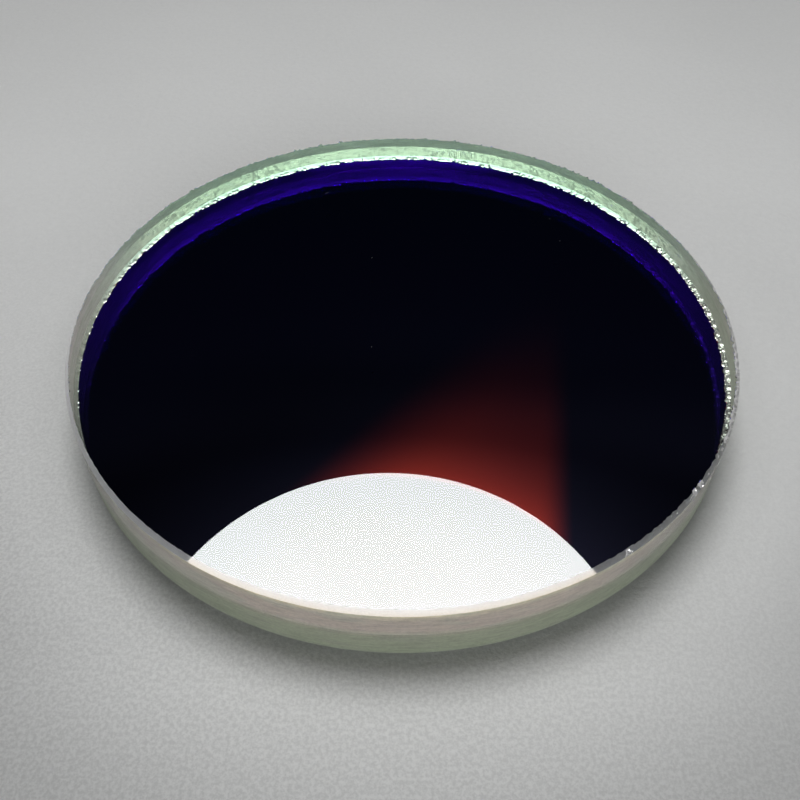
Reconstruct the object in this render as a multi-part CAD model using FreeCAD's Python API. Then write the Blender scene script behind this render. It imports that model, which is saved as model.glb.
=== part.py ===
import FreeCAD, Part
import math
import os

# A round optical filter: two glass plates cemented face to face, with the coating between them.
# The disc lies flat. Z points up, out of the front face, and the origin is the centre of its underside.
# Lengths are in millimetres and angles in degrees.

# Driving dimensions of the disc
DISC_DIAMETER = 25.0
FRONT_THICKNESS = 1.3
REAR_THICKNESS = 1.3
FRONT_BEVEL = 0.15
REAR_BEVEL = 0.15

# Chips along the front bevel: the angle where each one sits, anticlockwise from +X as seen
# from above, and its width. The edge on the +X side took most of them.
EDGE_CHIPS = (
    (-56.5, 0.22),
    (-41.0, 0.26),
    (-39.0, 0.24),
    (-29.0, 0.20),
    (-25.5, 0.22),
    (-23.5, 0.30),
    (-22.0, 0.22),
    (-20.0, 0.28),
    (-18.5, 0.24),
    (-16.0, 0.22),
    (-13.5, 0.30),
    (-11.5, 0.40),
    (-9.5, 0.34),
    (-7.5, 0.38),
    (-5.0, 0.22),
    (-2.5, 0.24),
    (-1.0, 0.30),
    (1.5, 0.24),
    (4.0, 0.26),
    (7.0, 0.34),
    (9.0, 0.24),
    (11.0, 0.28),
    (14.0, 0.34),
    (20.0, 0.26),
    (26.5, 0.30),
    (33.0, 0.22),
)
# How round a chip's shell is: 1 is half a ball, and larger is shallower
CHIP_ROUNDNESS = 1.25

radius = DISC_DIAMETER / 2.0
seam_height = REAR_THICKNESS
top_height = REAR_THICKNESS + FRONT_THICKNESS


def turned(profile):
    """A solid of revolution about Z from corners given as (distance from the axis, height)."""
    corners = [FreeCAD.Vector(x, 0.0, z) for x, z in profile]
    outline = Part.makePolygon(corners + corners[:1])
    face = Part.Face(outline)
    return face.revolve(FreeCAD.Vector(0, 0, 0), FreeCAD.Vector(0, 0, 1), 360.0)


def chip(angle, width):
    """The ball that leaves a round shell of this width when it is cut from the front bevel."""
    ball_radius = CHIP_ROUNDNESS * width / 2.0
    # The ball's centre stands off the middle of the bevel, square to it, by this distance
    standoff = math.sqrt(ball_radius ** 2 - (width / 2.0) ** 2)
    outward = standoff * math.cos(math.radians(45.0))
    centre_radius = radius - FRONT_BEVEL / 2.0 + outward
    turn = math.radians(angle)
    centre = FreeCAD.Vector(
        centre_radius * math.cos(turn),
        centre_radius * math.sin(turn),
        top_height - FRONT_BEVEL / 2.0 + outward,
    )
    return Part.makeSphere(ball_radius, centre)


def front_plate():
    """The upper plate: polished face, ground wall, and a bevel with chips along it."""
    plate = turned([
        (0.0, seam_height),
        (radius, seam_height),
        (radius, top_height - FRONT_BEVEL),
        (radius - FRONT_BEVEL, top_height),
        (0.0, top_height),
    ])
    return plate.cut([chip(angle, width) for angle, width in EDGE_CHIPS])


def rear_plate():
    """The lower plate, which the disc lies on, ground flush with the upper one."""
    return turned([
        (0.0, 0.0),
        (radius - REAR_BEVEL, 0.0),
        (radius, REAR_BEVEL),
        (radius, seam_height),
        (0.0, seam_height),
    ])


os.makedirs("parts", exist_ok=True)
front_plate().exportStep("parts/front_plate.step")
rear_plate().exportStep("parts/rear_plate.step")
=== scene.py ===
import math
import random

import bpy
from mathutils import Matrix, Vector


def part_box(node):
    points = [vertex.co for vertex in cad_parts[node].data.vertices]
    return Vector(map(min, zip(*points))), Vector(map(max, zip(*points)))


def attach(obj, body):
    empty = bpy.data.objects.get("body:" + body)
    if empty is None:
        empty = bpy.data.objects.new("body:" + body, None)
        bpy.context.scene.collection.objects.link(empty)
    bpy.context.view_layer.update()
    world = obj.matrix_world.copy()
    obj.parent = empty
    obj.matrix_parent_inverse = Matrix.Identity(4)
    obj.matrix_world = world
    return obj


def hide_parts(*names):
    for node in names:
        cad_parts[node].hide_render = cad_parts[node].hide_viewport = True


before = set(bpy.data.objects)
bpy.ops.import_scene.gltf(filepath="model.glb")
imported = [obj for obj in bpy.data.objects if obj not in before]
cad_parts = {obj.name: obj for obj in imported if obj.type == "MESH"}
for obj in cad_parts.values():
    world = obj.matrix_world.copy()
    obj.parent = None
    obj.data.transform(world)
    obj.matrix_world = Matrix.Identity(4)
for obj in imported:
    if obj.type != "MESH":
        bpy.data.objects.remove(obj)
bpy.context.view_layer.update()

# A round optical filter of two cemented glass plates, lying on a pale table under a round lamp.
# Lengths are in millimetres until a mesh is made, and +Z points up, out of the front face.

MM = 0.001

# The disc, read from the frame, and the dimensions that its box doesn't give
front_low, front_high = [[value / MM for value in corner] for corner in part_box("front_plate")]
RADIUS = (front_high[0] - front_low[0]) / 2
SEAM = front_low[2]
TOP = front_high[2]
BEVEL = 0.15
CEMENT_GAP = 0.004
GLASS_IOR = 1.52

# The large chips of the front bevel, as in the CAD model: angle from +X, and width
LARGE_CHIPS = (
    (-56.5, 0.22),
    (-41.0, 0.26),
    (-39.0, 0.24),
    (-29.0, 0.20),
    (-25.5, 0.22),
    (-23.5, 0.30),
    (-22.0, 0.22),
    (-20.0, 0.28),
    (-18.5, 0.24),
    (-16.0, 0.22),
    (-13.5, 0.30),
    (-11.5, 0.40),
    (-9.5, 0.34),
    (-7.5, 0.38),
    (-5.0, 0.22),
    (-2.5, 0.24),
    (-1.0, 0.30),
    (1.5, 0.24),
    (4.0, 0.26),
    (7.0, 0.34),
    (9.0, 0.24),
    (11.0, 0.28),
    (14.0, 0.34),
    (20.0, 0.26),
    (26.5, 0.30),
    (33.0, 0.22),
)
CHIP_ROUNDNESS = 1.25

# The two kinds of damage: an old nick, worn to the same frost as the bevel, and a fresh bright chip.
# Where both meet, the larger number shows.
NICK = 1
CHIP = 2
# The small ones by stretch of the rim: kind, from angle, to angle, how many, least and most width,
# how shallow they are, and where they sit on the bevel, from 0 at the face's edge to 1 at the wall's
SMALL_CHIPS = (
    (CHIP, -60, -30, 24, 0.04, 0.12, 1.3, 0.6),
    (CHIP, -30, 35, 150, 0.05, 0.17, 1.3, 0.6),
    (CHIP, 35, 130, 60, 0.03, 0.09, 1.3, 0.6),
    (CHIP, 130, 160, 14, 0.03, 0.08, 1.3, 0.6),
    (CHIP, -30, 60, 200, 0.03, 0.09, 1.2, 0.0),
    (CHIP, 60, 165, 90, 0.03, 0.08, 1.2, 0.0),
    (CHIP, 163, 177, 24, 0.05, 0.09, 1.2, 0.1),
    (CHIP, 180, 187, 6, 0.06, 0.09, 1.15, 0.15),
    (NICK, -20, 60, 120, 0.06, 0.20, 1.15, 0.0),
    (NICK, 60, 170, 300, 0.06, 0.24, 1.15, 0.0),
    (NICK, 170, 200, 20, 0.04, 0.10, 1.15, 0.0),
)
SEED = 5

# How finely the plates are turned, and the angle between faces that still shades smooth, in degrees
FRONT_STEPS = 2880
REAR_STEPS = 1440
SMOOTH_ANGLE = 28


def camera():
    """The photograph's camera: close above the near edge, looking 48 degrees down."""
    place = (-0.084, -24.865, 25.725)
    depression = 48.292
    data = bpy.data.cameras.new("camera")
    data.sensor_width = 36.0
    data.lens = 39.95
    data.clip_start = 0.001
    data.clip_end = 20.0
    data.dof.use_dof = False
    cam = bpy.data.objects.new("camera", data)
    cam.location = [value * MM for value in place]
    cam.rotation_euler = (math.radians(90 - depression), 0, 0)
    bpy.context.collection.objects.link(cam)
    bpy.context.scene.camera = cam


class Nodes:
    """A short way to write a node tree."""

    def __init__(self, owner):
        owner.use_nodes = True
        self.tree = owner.node_tree
        self.tree.nodes.clear()

    def add(self, kind, inputs=(), **settings):
        node = self.tree.nodes.new(kind)
        for name, value in settings.items():
            setattr(node, name, value)
        for key, value in dict(inputs).items():
            if isinstance(value, bpy.types.NodeSocket):
                self.tree.links.new(value, node.inputs[key])
            else:
                node.inputs[key].default_value = value
        return node

    def math(self, operation, first, second=0.0):
        return self.add("ShaderNodeMath", {0: first, 1: second}, operation=operation).outputs[0]

    def scaled(self, colour, share):
        """A colour times a number, for adding lights up."""
        names = {0: colour, "Scale": share}
        return self.add("ShaderNodeVectorMath", names, operation="SCALE").outputs[0]

    def sum(self, first, second):
        """Two colours added up."""
        return self.add("ShaderNodeVectorMath", {0: first, 1: second}, operation="ADD").outputs[0]

    def length(self, vector):
        node = self.add("ShaderNodeVectorMath", {0: vector}, operation="LENGTH")
        return node.outputs["Value"]

    def ramp(self, value, low, high, to_low=0.0, to_high=1.0):
        """value taken smoothly from the range low to high into to_low to to_high."""
        names = {"Value": value, "From Min": low, "From Max": high, "To Min": to_low, "To Max": to_high}
        node = self.add("ShaderNodeMapRange", names, interpolation_type="SMOOTHSTEP")
        return node.outputs[0]

    def blend(self, share, first, second):
        """Two colours mixed by share."""
        node = self.add("ShaderNodeMix", data_type="RGBA")
        for key, value in (("Factor_Float", share), ("A_Color", first), ("B_Color", second)):
            socket = next(s for s in node.inputs if s.identifier == key)
            if isinstance(value, bpy.types.NodeSocket):
                self.tree.links.new(value, socket)
            else:
                socket.default_value = value
        return next(s for s in node.outputs if s.identifier == "Result_Color")

    def mix(self, share, first, second):
        return self.add("ShaderNodeMixShader", {0: share, 1: first, 2: second}).outputs[0]

    def plus(self, first, second):
        return self.add("ShaderNodeAddShader", {0: first, 1: second}).outputs[0]

    def place(self, stretch=(1, 1, 1)):
        """The surface point in millimetres, stretched by axis, for grain that follows the object."""
        point = self.add("ShaderNodeTexCoord").outputs["Object"]
        scale = [value / MM for value in stretch]
        return self.add("ShaderNodeMapping", {"Vector": point, "Scale": scale}).outputs[0]

    def noise(self, vector, scale, detail=2.0, roughness=0.5):
        names = {"Vector": vector, "Scale": scale, "Detail": detail, "Roughness": roughness}
        return self.add("ShaderNodeTexNoise", names).outputs[0]

    def bump(self, height, distance):
        """A normal for height, where distance is the depth in millimetres."""
        names = {"Height": height, "Distance": distance * MM, "Strength": 1.0}
        return self.add("ShaderNodeBump", names).outputs[0]

    def mirror(self, colour, roughness=0.0, **more):
        names = {"Color": colour, "Roughness": roughness, **more}
        return self.add("ShaderNodeBsdfGlossy", names).outputs[0]

    def diffuse(self, colour, **more):
        return self.add("ShaderNodeBsdfDiffuse", {"Color": colour, **more}).outputs[0]

    def translucent(self, colour, normal):
        return self.add("ShaderNodeBsdfTranslucent", {"Color": colour, "Normal": normal}).outputs[0]

    def glass(self, colour, roughness, normal):
        """Glass that scatters what it passes, as ground or broken glass does."""
        return self.add("ShaderNodeBsdfPrincipled", {
            "Base Color": colour,
            "Roughness": roughness,
            "IOR": GLASS_IOR,
            "Transmission Weight": 1.0,
            "Normal": normal,
        }).outputs[0]

    def up_the_wall(self, stops):
        """A colour that changes with height, from stops of (millimetres above the table, colour)."""
        height = self.add("ShaderNodeSeparateXYZ", {0: self.place()}).outputs["Z"]
        node = self.add("ShaderNodeValToRGB", {0: self.math("DIVIDE", height, TOP)})
        marks = node.color_ramp.elements
        while len(marks) < len(stops):
            marks.new(0.5)
        for mark, (level, colour) in zip(marks, stops):
            mark.position = level / TOP
            mark.color = colour
        return node.outputs["Color"]

    def from_within(self, outside, inside):
        """One shader for a surface seen from the air, and another for it seen through the glass."""
        behind = self.add("ShaderNodeNewGeometry").outputs["Backfacing"]
        return self.mix(behind, outside, inside)

    def finish(self, shader, output="ShaderNodeOutputMaterial"):
        self.add(output, {"Surface": shader})


def grey(level):
    return (level, level, level, 1)


def polished_face():
    """Clear glass with a thin film, which mirrors violet-blue once it is seen at a slant."""
    material = bpy.data.materials.new("coated_face")
    n = Nodes(material)
    haze = n.noise(n.place(), 0.35, 3)
    violet = n.blend(n.ramp(haze, 0.3, 0.7), (0.0155, 0.0004, 0.212, 1), (0.0145, 0.0004, 0.195, 1))
    fresnel = n.add("ShaderNodeFresnel", {"IOR": GLASS_IOR}).outputs[0]
    slant = n.ramp(fresnel, 0.0455, 0.058)
    steep = n.ramp(fresnel, 0.058, 0.078)
    violet = n.blend(n.ramp(fresnel, 0.0763, 0.0787), violet, (0.058, 0.001, 0.80, 1))
    film = n.mirror(n.blend(n.ramp(fresnel, 0.0455, 0.0645), (0.006, 0.005, 0.008, 1), violet))
    passed = n.blend(slant, grey(0.985), (0.97, 0.965, 0.93, 1))
    passed = n.blend(steep, passed, (0.74, 1.0, 0.84, 1))
    inward = n.add("ShaderNodeBsdfRefraction", {"Color": passed, "Roughness": 0.0, "IOR": GLASS_IOR})
    coated = n.plus(film, inward.outputs[0])
    # Near grazing, and past the angle of total reflection inside, the glass mirrors everything
    n.finish(n.mix(n.ramp(fresnel, 0.10, 1.0), coated, n.mirror(grey(1.0))))
    return material


# The ground wall's colours from the air, by height, are partly painted light: greenish below the seam,
# and pinkish above it along the near edge, for the coloured light in each plate, which fades to a darker
# grey towards the sides
NEAR_LIT_TINTS = (
    (0.00, (0.60, 0.68, 0.53, 1)),
    (0.30, (0.75, 0.84, 0.63, 1)),
    (1.10, (0.78, 0.84, 0.64, 1)),
    (1.55, (0.93, 0.80, 0.70, 1)),
    (2.10, (0.97, 0.84, 0.73, 1)),
    (2.40, (1.00, 0.91, 0.69, 1)),
)
SIDE_SHADED_TINTS = (
    (0.00, (0.52, 0.58, 0.47, 1)),
    (0.30, (0.59, 0.66, 0.52, 1)),
    (1.10, (0.60, 0.64, 0.55, 1)),
    (1.55, (0.57, 0.56, 0.52, 1)),
    (2.40, (0.51, 0.50, 0.475, 1)),
)


def ground_wall(name, depth):
    """Ground glass. From within it is painted mint where the lamp shines through it, and grey elsewhere.
    """
    material = bpy.data.materials.new(name)
    n = Nodes(material)
    where = n.add("ShaderNodeSeparateXYZ", {0: n.place()})
    aside = n.ramp(n.math("ABSOLUTE", where.outputs["X"]), 3.5, 11.0)
    back = n.ramp(where.outputs["Y"], 1.0, 8.0)
    # Grinding leaves short marks along the wall and pits all over it
    marks = n.noise(n.place((1, 1, 9)), 2.2, 4, 0.6)
    grit = n.noise(n.place((1, 1, 1.4)), 9.0, 3, 0.6)
    height = n.math("ADD", n.math("MULTIPLY", marks, 0.5), n.math("MULTIPLY", grit, 0.5))
    normal = n.bump(height, depth)
    streak = n.noise(n.place((0.6, 0.6, 4)), 1.9, 4, 0.65)
    worn = n.ramp(height, 0.36, 0.60, 0.84, 1.0)
    tone = n.math("MULTIPLY", worn, n.ramp(streak, 0.35, 0.60, 0.86, 1.0))
    speckle = n.ramp(n.noise(n.place((1.2, 1.2, 0.4)), 7.0, 2, 0.6), 0.41, 0.53, 0.12, 1.0)
    # Painted shade: the near tints give way to the darker side tints away from the middle
    tint = n.blend(aside, n.up_the_wall(NEAR_LIT_TINTS), n.up_the_wall(SIDE_SHADED_TINTS))
    patches = n.ramp(n.noise(n.place((0.5, 0.5, 1.5)), 1.0, 2), 0.50, 0.66, 0.0, 0.45)
    outer = n.blend(tone, grey(0.0), n.blend(patches, tint, (0.76, 0.79, 0.66, 1)))
    powder = n.diffuse(outer, Normal=normal)
    # The wall is palest in a line under the bevel
    powdery = n.ramp(where.outputs["Z"], 2.15, 2.42, 0.5, 0.75)
    outside = n.mix(powdery, n.glass(outer, 0.62, normal), powder)
    # Seen from within: painted light, mint towards the back where the lamp shines through the wall, and
    # painted shade, darker towards the right
    mint = n.blend(back, (0.84, 0.78, 0.78, 1), (0.95, 1.0, 0.72, 1))
    shine = n.glass(n.blend(speckle, grey(0.0), mint), 0.62, normal)
    right = n.ramp(where.outputs["X"], -4.0, 9.0)
    side = n.blend(right, (0.91, 0.87, 0.86, 1), (0.62, 0.64, 0.56, 1))
    soft = n.blend(tone, grey(0.0), n.blend(back, side, (0.93, 0.98, 0.96, 1)))
    veil = n.translucent(soft, normal)
    inside = n.mix(n.ramp(back, 0.0, 1.0, 0.85, 0.33), shine, veil)
    n.finish(n.from_within(outside, inside))
    return material


def frosted_bevel():
    """The bevel: fine-ground glass, with flat plateaus between its pits that still mirror the lamp."""
    material = bpy.data.materials.new("frosted_bevel")
    n = Nodes(material)
    grit = n.noise(n.place((1, 1, 2)), 14.0, 3)
    normal = n.bump(grit, 0.006)
    tone = n.ramp(grit, 0.35, 0.6, 0.92, 1.0)
    where = n.add("ShaderNodeSeparateXYZ", {0: n.place()})
    foot = TOP - BEVEL
    # From within, a painted highlight: the bevel is brightest at the face's edge along the far side, and
    # dark along the near side
    dim = (0.07, 0.095, 0.08, 1)
    lit = n.up_the_wall(((foot, dim), (TOP - 0.6 * BEVEL, dim), (TOP, (0.26, 0.27, 0.28, 1))))
    lit = n.blend(n.ramp(where.outputs["Y"], 1.0, 8.0), (0.02, 0.022, 0.02, 1), lit)
    inside = n.glass(n.blend(tone, grey(0.0), lit), 0.5, normal)
    # Painted shade: from the air the bevel is darker towards the right, and darkest there at the face's
    # edge
    right = n.up_the_wall(((foot, (0.60, 0.60, 0.58, 1)), (TOP, (0.42, 0.42, 0.41, 1))))
    frost_and_shade = n.blend(n.ramp(where.outputs["X"], -6.0, 10.0), grey(0.98), right)
    pale = n.blend(tone, grey(0.0), frost_and_shade)
    powder = n.diffuse(pale, Normal=normal)
    # Along the near edge the bevel has less powder and more glass, and so is darker
    powdery = n.ramp(where.outputs["Y"], -8.0, 0.0, 0.28, 0.85)
    outside = n.mix(powdery, n.glass(pale, 0.45, normal), powder)
    upward = n.add("ShaderNodeCombineXYZ", {"Z": 1.0}).outputs[0]
    sheen = n.up_the_wall(((foot, (0.083, 0.072, 0.058, 1)), (TOP, (0.092, 0.089, 0.088, 1))))
    n.finish(n.from_within(n.plus(outside, n.mirror(sheen, 0.02, Normal=upward)), inside))
    return material


def fresh_chip():
    """A chip's shell: bright broken glass with fine ripples."""
    material = bpy.data.materials.new("fresh_chip")
    n = Nodes(material)
    ripple = n.noise(n.place(), 11.0, 2)
    normal = n.bump(ripple, 0.02)
    spark = n.ramp(ripple, 0.42, 0.56)
    clear = n.glass(n.blend(spark, (0.002, 0.0025, 0.002, 1), (0.10, 0.12, 0.095, 1)), 0.12, normal)
    veil = n.translucent(grey(0.25), normal)
    dust = n.diffuse(grey(0.38), Normal=normal)
    glint = n.mirror(grey(0.45), 0.12, Normal=normal)
    n.finish(n.from_within(n.plus(dust, glint), n.plus(clear, veil)))
    return material


def filter_coating():
    """The filter's film stack, which takes up most light that meets it squarely and mirrors the rest."""
    material = bpy.data.materials.new("filter_coating")
    n = Nodes(material)
    drift = n.ramp(n.noise(n.place(), 0.12, 2), 0.3, 0.7)
    facing = n.add("ShaderNodeLayerWeight", {"Blend": 0.5}).outputs["Facing"]
    across = n.add("ShaderNodeSeparateXYZ", {0: n.place()}).outputs["X"]
    # Painted shade: seen squarely, the mirror is a little darker and greener towards the left, where the
    # lamp's reflection fades
    middle = n.blend(n.ramp(across, -8.5, -3.0), (0.110, 0.119, 0.116, 1), (0.123, 0.124, 0.1215, 1))
    squarely = n.blend(n.ramp(facing, 0.045, 0.085), middle, (0.097, 0.103, 0.100, 1))
    slanted = n.blend(drift, (0.88, 0.93, 0.88, 1), (0.90, 0.95, 0.90, 1))
    n.finish(n.mirror(n.blend(n.ramp(facing, 0.090, 0.125), squarely, slanted)))
    return material


def coating_back():
    """The underside of the coating, seen dimly through the rear plate's ground wall."""
    material = bpy.data.materials.new("coating_back")
    n = Nodes(material)
    drift = n.noise(n.place(), 0.2, 2)
    n.finish(n.add("ShaderNodeBsdfPrincipled", {
        "Base Color": n.blend(drift, (0.20, 0.27, 0.21, 1), (0.25, 0.32, 0.26, 1)),
        "Roughness": 0.25,
        "Metallic": 0.6,
    }).outputs[0])
    return material


def rear_face():
    """The rear plate's polished face, which rests on the table."""
    material = bpy.data.materials.new("rear_face")
    n = Nodes(material)
    haze = n.noise(n.place(), 0.4, 2)
    tint = n.blend(haze, (0.90, 0.95, 0.91, 1), (0.94, 0.98, 0.95, 1))
    n.finish(n.glass(tint, 0.02, n.bump(haze, 0.001)))
    return material


def lathe(name, rings, band, caps, materials):
    """A closed mesh from rings of points, which run from the bottom outwards and up.

    band gives the material of the face between ring i and ring i + 1 at step k, and caps gives
    those of the bottom and top ends.
    """
    steps = len(rings[0])
    points = [tuple(value * MM for value in point) for ring in rings for point in ring]
    faces = []
    kinds = []
    for i in range(len(rings) - 1):
        low = i * steps
        high = low + steps
        for k in range(steps):
            after = (k + 1) % steps
            faces.append((low + k, low + after, high + after, high + k))
            kinds.append(band(i, k))
    last = (len(rings) - 1) * steps
    faces.append(tuple(reversed(range(steps))))
    kinds.append(caps[0])
    faces.append(tuple(range(last, last + steps)))
    kinds.append(caps[1])
    mesh = bpy.data.meshes.new(name)
    mesh.from_pydata(points, [], faces)
    for material in materials:
        mesh.materials.append(material)
    mesh.polygons.foreach_set("material_index", kinds)
    mesh.shade_smooth()
    mesh.set_sharp_from_angle(angle=math.radians(SMOOTH_ANGLE))
    mesh.validate()
    piece = bpy.data.objects.new(name, mesh)
    bpy.context.collection.objects.link(piece)
    return piece


def all_chips():
    """Every chip as (kind, angle, width, roundness, seat).

    The large ones come first, each with three smaller ones round it, and then the small ones.
    """
    draw = random.Random(SEED)
    chips = []
    for angle, width in LARGE_CHIPS:
        chips.append((CHIP, angle, width, CHIP_ROUNDNESS, 0.5))
        for _ in range(3):
            aside = math.degrees(draw.uniform(-0.65, 0.65) * width / RADIUS)
            share = draw.uniform(0.3, 0.6)
            chips.append((CHIP, angle + aside, width * share, CHIP_ROUNDNESS, draw.uniform(0.1, 0.9)))
    for kind, low, high, count, narrow, wide, roundness, seat in SMALL_CHIPS:
        for _ in range(count):
            width = narrow + (wide - narrow) * draw.random() ** 2
            angle = draw.uniform(low, high)
            chips.append((kind, angle, width, roundness * draw.uniform(0.95, 1.1), seat))
    return chips


def chip_balls(steps):
    """For each step of the turn, the chips' balls there: turn, distance in, depth, radius and kind."""
    balls = [[] for _ in range(steps)]
    for kind, angle, width, roundness, seat in all_chips():
        ball = roundness * width / 2
        # The ball's centre stands off its seat on the bevel, square to the bevel
        out = math.sqrt(ball ** 2 - (width / 2) ** 2) * math.cos(math.radians(45))
        turn = math.radians(angle) % (2 * math.pi)
        middle = round(turn / (2 * math.pi) * steps)
        span = math.ceil(width / 2 / RADIUS / (2 * math.pi) * steps) + 1
        for k in range(middle - span, middle + span + 1):
            balls[k % steps].append((turn, BEVEL * (1 - seat) - out, BEVEL * seat - out, ball, kind))
    return balls


def pushed_in(inset, drop, turn, balls):
    """A point of the rim's outline moved in along the bevel's normal, out of every ball it lies in.

    The third value is the kind of chip that cut it, or 0.
    """
    cut = 0
    for ball_turn, ball_inset, ball_drop, ball, kind in balls:
        swing = (turn - ball_turn + math.pi) % (2 * math.pi) - math.pi
        side = inset - ball_inset
        down = drop - ball_drop
        room = ball ** 2 - (swing * RADIUS) ** 2 - (side - down) ** 2 / 2
        if room <= 0:
            continue
        push = math.sqrt(room / 2) - (side + down) / 2
        if push > 0:
            inset += push
            drop += push
            cut = max(cut, kind)
    return inset, drop, cut


def bevel_widths(steps):
    """The bevel's width at each step of the turn: ragged along the far rim, and less so at the right."""
    draw = random.Random(SEED + 2)
    teeth = []
    tooth = 0.0
    while len(teeth) < steps:
        following = 1.5 * draw.random() - 0.75
        run = draw.randint(2, 7)
        teeth += [tooth + (following - tooth) * i / run for i in range(run)]
        tooth = following
    widths = []
    for k in range(steps):
        turn = 2 * math.pi * k / steps
        reach = 0.08 + 0.65 * max(0.0, math.sin(turn)) + 0.22 * max(0.0, math.cos(turn))
        widths.append(BEVEL * (1 + reach * teeth[k]))
    return widths


# The front plate's materials, by their place in its list
FACE, WALL, FROST, SHELL, MIRROR = range(5)


def front_plate():
    """The upper plate: coated face, chipped bevel, ground wall and the mirror under it."""
    steps = FRONT_STEPS
    # The outline near the rim as (distance in from the wall, distance below the top)
    wall = [(0.0, TOP - SEAM), (0.0, 0.9), (0.0, 0.5), (0.0, 0.36)]
    wall += [(0.0, BEVEL + 0.18 - 0.03 * i) for i in range(6)]
    slope = [(BEVEL * i / 8, BEVEL - BEVEL * i / 8) for i in range(9)]
    land = [(BEVEL + 0.025 * i, 0.0) for i in range(1, 7)] + [(0.5, 0.0), (1.2, 0.0)]
    outline = wall + slope + land
    edge = len(wall) + len(slope) - 1
    widths = bevel_widths(steps)
    balls = chip_balls(steps)
    draw = random.Random(SEED + 1)
    rings = [[] for _ in outline]
    cut = [[0] * steps for _ in outline]
    for k in range(steps):
        turn = 2 * math.pi * k / steps
        fray = 0.008 * draw.random()
        for i, (inset, drop) in enumerate(outline):
            if i == len(wall):
                drop += fray
            if i <= edge:
                inset *= widths[k] / BEVEL
            else:
                inset = max(inset, widths[k] + 0.001 * (i - edge))
            inset, drop, cut[i][k] = pushed_in(inset, drop, turn, balls[k])
            distance = RADIUS - inset
            rings[i].append((distance * math.cos(turn), distance * math.sin(turn), TOP - drop))

    def band(i, k):
        after = (k + 1) % steps
        corners = sorted((cut[i][k], cut[i][after], cut[i + 1][k], cut[i + 1][after]))
        if corners[1] == CHIP:
            return SHELL
        if i < len(wall):
            return WALL
        if i < edge or corners[1] == NICK:
            return FROST
        return FACE

    ground = ground_wall("ground_wall_front", 0.03)
    materials = [polished_face(), ground, frosted_bevel(), fresh_chip(), filter_coating()]
    piece = lathe("front_glass_plate", rings, band, (MIRROR, FACE), materials)
    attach(piece, "root")
    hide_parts("front_plate")


def rear_plate():
    """The lower plate, ground flush with the upper one, with the coating's back on it."""
    turns = [2 * math.pi * k / REAR_STEPS for k in range(REAR_STEPS)]
    outline = [(BEVEL, 0.0), (0.0, BEVEL), (0.0, 0.5), (0.0, 0.9), (0.0, SEAM - CEMENT_GAP)]
    rings = []
    for inset, height in outline:
        distance = RADIUS - inset
        rings.append([(distance * math.cos(turn), distance * math.sin(turn), height) for turn in turns])
    # The wall's material is the second in the list, and the ends have the first and the third
    materials = [rear_face(), ground_wall("ground_wall_rear", 0.02), coating_back()]
    piece = lathe("rear_glass_plate", rings, lambda i, k: 1, (0, 2), materials)
    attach(piece, "root")
    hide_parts("rear_plate")


# Dust on the face: where each speck lies, its length and breadth, and the turn of its length from +X
DUST = (
    (-3.31, 7.96, 0.26, 0.05, 40),
    (-1.22, 3.50, 0.08, 0.06, 10),
    (-1.13, -1.63, 0.07, 0.06, 80),
    (6.30, 6.10, 0.07, 0.05, 25),
    (6.85, 6.30, 0.06, 0.05, 0),
    (6.55, 4.60, 0.07, 0.05, 120),
)
DUST_HEIGHT = 0.012
DUST_CORNERS = 10


def dusty():
    """Dull grey lint."""
    material = bpy.data.materials.new("dust")
    n = Nodes(material)
    clumps = n.noise(n.place(), 30.0, 2)
    colour = n.blend(clumps, (0.03, 0.03, 0.032, 1), (0.08, 0.08, 0.085, 1))
    n.finish(n.diffuse(colour))
    return material


def face_dust():
    """The specks of dust on the face, as low mounds with an uneven outline."""
    draw = random.Random(SEED + 3)
    steps = DUST_CORNERS
    points = []
    faces = []
    for x, y, length, breadth, turn in DUST:
        first = len(points)
        tilt = math.radians(turn)
        for height, share in ((0.0, 1.0), (0.7 * DUST_HEIGHT, 0.6)):
            for k in range(steps):
                angle = 2 * math.pi * k / steps
                reach = share * draw.uniform(0.7, 1.0) / 2
                along = reach * length * math.cos(angle)
                across = reach * breadth * math.sin(angle)
                px = x + along * math.cos(tilt) - across * math.sin(tilt)
                py = y + along * math.sin(tilt) + across * math.cos(tilt)
                points.append((px * MM, py * MM, (TOP + height) * MM))
        points.append((x * MM, y * MM, (TOP + DUST_HEIGHT) * MM))
        crown = len(points) - 1
        faces.append(tuple(first + k for k in reversed(range(steps))))
        for k in range(steps):
            after = (k + 1) % steps
            faces.append((first + k, first + after, first + steps + after, first + steps + k))
            faces.append((first + steps + k, first + steps + after, crown))
    mesh = bpy.data.meshes.new("face_dust")
    mesh.from_pydata(points, [], faces)
    mesh.materials.append(dusty())
    mesh.validate()
    piece = bpy.data.objects.new("face_dust", mesh)
    bpy.context.collection.objects.link(piece)
    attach(piece, "root")


# The table is lit near the object, and further out it takes the backdrop's plain colour
FLOOR_RADIUS = 3000.0
FLOOR_STEPS = 96
FLOOR_DROP = 0.01
BACKDROP = grey(0.47)


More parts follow.
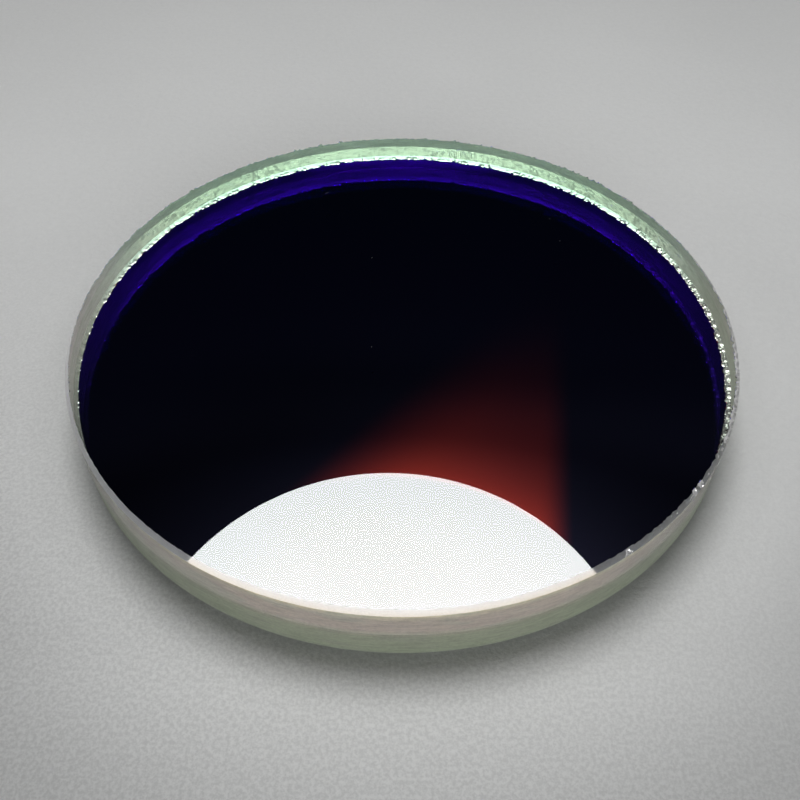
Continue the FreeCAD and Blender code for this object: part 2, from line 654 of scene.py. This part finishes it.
def table():
    """The pale table, with painted light and shade, soft changes of tone and a paper-fine grit."""
    material = bpy.data.materials.new("pale_table")
    n = Nodes(material)
    point = n.place()
    grain = n.noise(point, 3.2, 4, 0.6)
    mottle = n.noise(point, 0.12, 2)
    shade = n.math("ADD", n.math("MULTIPLY", grain, 0.05), n.math("MULTIPLY", mottle, 0.04))
    colour = n.blend(n.ramp(shade, 0.02, 0.07), (0.766, 0.773, 0.766, 1), (0.825, 0.832, 0.825, 1))
    bright = n.blend(n.ramp(shade, 0.02, 0.07), (0.80, 0.808, 0.80, 1), (0.85, 0.858, 0.85, 1))
    # Painted light and shade: it is palest behind the object and in front of it, with a painted shadow
    # under its rim and painted shade towards the near corners and further out
    where = n.add("ShaderNodeSeparateXYZ", {0: point})
    length = where.outputs["Y"]
    colour = n.blend(n.ramp(length, 2.0, 15.0), colour, bright)
    colour = n.blend(n.ramp(length, -11.5, -14.0), colour, (0.85, 0.858, 0.85, 1))
    from_middle = n.length(point)
    near = n.math("MULTIPLY", n.ramp(length, 0.0, -9.0), n.ramp(from_middle, 14.2, 20.5, 0.0, 0.31))
    near = n.math("MULTIPLY", near, n.ramp(from_middle, 22.0, 40.0, 1.0, 0.4))
    far = n.ramp(from_middle, 18.0, 45.0, 0.0, 0.17)
    painted_rim_shadow = n.ramp(from_middle, 12.8, 15.2, 0.11, 0.0)
    painted_shade = n.math("MAXIMUM", n.math("MAXIMUM", near, far), painted_rim_shadow)
    colour = n.blend(painted_shade, colour, grey(0.0))
    # Its paper-fine grit darkens it most at the near left, partly the table's own grit and partly
    # painted shade of its relief
    corner = n.math("ADD", length, n.math("MULTIPLY", where.outputs["X"], 0.4))
    depth = n.ramp(corner, 4.0, -18.0, 0.02, 0.17)
    grit = n.ramp(n.noise(point, 8.0, 3, 0.7), 0.35, 0.65, depth, 0.0)
    colour = n.blend(grit, colour, grey(0.0))
    lit = n.diffuse(colour, Normal=n.bump(grain, 0.04))
    plain = n.add("ShaderNodeEmission", {"Color": BACKDROP}).outputs[0]
    n.finish(n.mix(n.ramp(from_middle, 60.0, 500.0), lit, plain))

    reach = FLOOR_RADIUS * MM
    turns = [2 * math.pi * k / FLOOR_STEPS for k in range(FLOOR_STEPS)]
    ring = [(reach * math.cos(turn), reach * math.sin(turn), -FLOOR_DROP * MM) for turn in turns]
    mesh = bpy.data.meshes.new("table")
    mesh.from_pydata(ring, [], [tuple(range(FLOOR_STEPS))])
    mesh.materials.append(material)
    floor = bpy.data.objects.new("table", mesh)
    bpy.context.collection.objects.link(floor)


# The lamp over the far side of the table, found from its reflection in the face
LAMP_HEIGHT = 1500.0
LAMP_CENTRE = (-25.9, 658.8)
LAMP_RADIUS = 463.3
LAMP_RADIANCE = 7.8

# The weak fill, which stands behind the camera
FILL_CENTRE = (300.0, -1600.0, 400.0)
FILL_RADIUS = 600.0
FILL_RADIANCE = 3.0


def disc_light(name, centre, radius, radiance, aim):
    """A round area light in millimetres that gives this radiance towards aim."""
    data = bpy.data.lights.new(name, "AREA")
    data.shape = "DISK"
    data.size = 2 * radius * MM
    data.energy = radiance * math.pi * math.pi * (radius * MM) ** 2
    light = bpy.data.objects.new(name, data)
    light.location = [value * MM for value in centre]
    across, along, up = [a - c for a, c in zip(aim, centre)]
    tilt = math.atan2(math.hypot(across, along), -up)
    light.rotation_euler = (tilt, 0, math.atan2(along, across) - math.pi / 2)
    light.visible_camera = False
    bpy.context.collection.objects.link(light)


def studio():
    """The round lamp, a weak fill from the camera's side, and a dim room that is pale near the table."""
    lamp = (*LAMP_CENTRE, LAMP_HEIGHT)
    disc_light("round_lamp", lamp, LAMP_RADIUS, LAMP_RADIANCE, (*LAMP_CENTRE, 0.0))
    disc_light("fill", FILL_CENTRE, FILL_RADIUS, FILL_RADIANCE, (0.0, 0.0, 0.0))

    world = bpy.data.worlds.new("room")
    bpy.context.scene.world = world
    n = Nodes(world)
    towards = n.add("ShaderNodeTexCoord").outputs["Generated"]
    parts = n.add("ShaderNodeSeparateXYZ", {0: towards})
    up = parts.outputs["Z"]
    dark = n.blend(n.ramp(up, 0.62, 0.85), (0.0009, 0.0010, 0.0028, 1), (0.0015, 0.0020, 0.006, 1))
    room = n.blend(n.ramp(up, 0.10, 0.42), grey(0.42), dark)

    # Where a direction meets a ceiling one unit up: a red glow fades outwards from the lamp's edge
    height = n.math("MAXIMUM", up, 0.01)
    across = n.math("DIVIDE", parts.outputs["X"], height)
    along = n.math("DIVIDE", parts.outputs["Y"], height)
    aside = n.math("SUBTRACT", across, LAMP_CENTRE[0] / LAMP_HEIGHT)
    beyond = n.math("SUBTRACT", along, LAMP_CENTRE[1] / LAMP_HEIGHT)
    flat = n.add("ShaderNodeCombineXYZ", {"X": aside, "Y": beyond}).outputs[0]
    reach = n.length(flat)
    outward = n.math("SUBTRACT", n.math("DIVIDE", reach, LAMP_RADIUS / LAMP_HEIGHT), 1.0)
    beyond_lamp = n.ramp(outward, -0.01, 0.01)
    fall = n.math("EXPONENT", n.math("MULTIPLY", outward, -5.3))
    fall = n.math("MULTIPLY", fall, n.ramp(along, 0.76, 0.94, 1.0, 0.25))
    right_side = n.math("SUBTRACT", across, n.math("MULTIPLY", along, 0.1265))
    left_side = n.math("SUBTRACT", across, n.math("MULTIPLY", along, 0.835))
    patch = n.math("MULTIPLY", n.ramp(right_side, 0.150, 0.100), n.ramp(left_side, -0.77, -0.59))
    path = n.add("ShaderNodeLightPath")
    sharp = n.math("MULTIPLY", n.math("SUBTRACT", 1.0, path.outputs["Is Diffuse Ray"]), beyond_lamp)
    glow = n.math("MULTIPLY", n.math("MULTIPLY", fall, patch), sharp)
    red = n.scaled((1.95, 0.145, 0.03), glow)
    # A faint grey haze lies round the lamp, most at its right, and ends beyond its far side
    wide_fall = n.math("EXPONENT", n.math("MULTIPLY", outward, -3.0))
    wide_fall = n.math("MULTIPLY", wide_fall, n.ramp(along, 0.74, 0.96, 1.0, 0.12))
    wide_fall = n.math("MULTIPLY", wide_fall, n.ramp(across, -0.25, 0.22, 0.7, 1.6))
    pale = n.scaled((0.046, 0.046, 0.090), n.math("MULTIPLY", wide_fall, sharp))
    lit_room = n.sum(room, n.sum(red, pale))

    # The camera itself sees a plain backdrop
    colour = n.blend(path.outputs["Is Camera Ray"], lit_room, BACKDROP)
    n.finish(n.add("ShaderNodeBackground", {"Color": colour}).outputs[0], "ShaderNodeOutputWorld")


bpy.context.scene.view_settings.view_transform = "Standard"
camera()
front_plate()
rear_plate()
face_dust()
table()
studio()
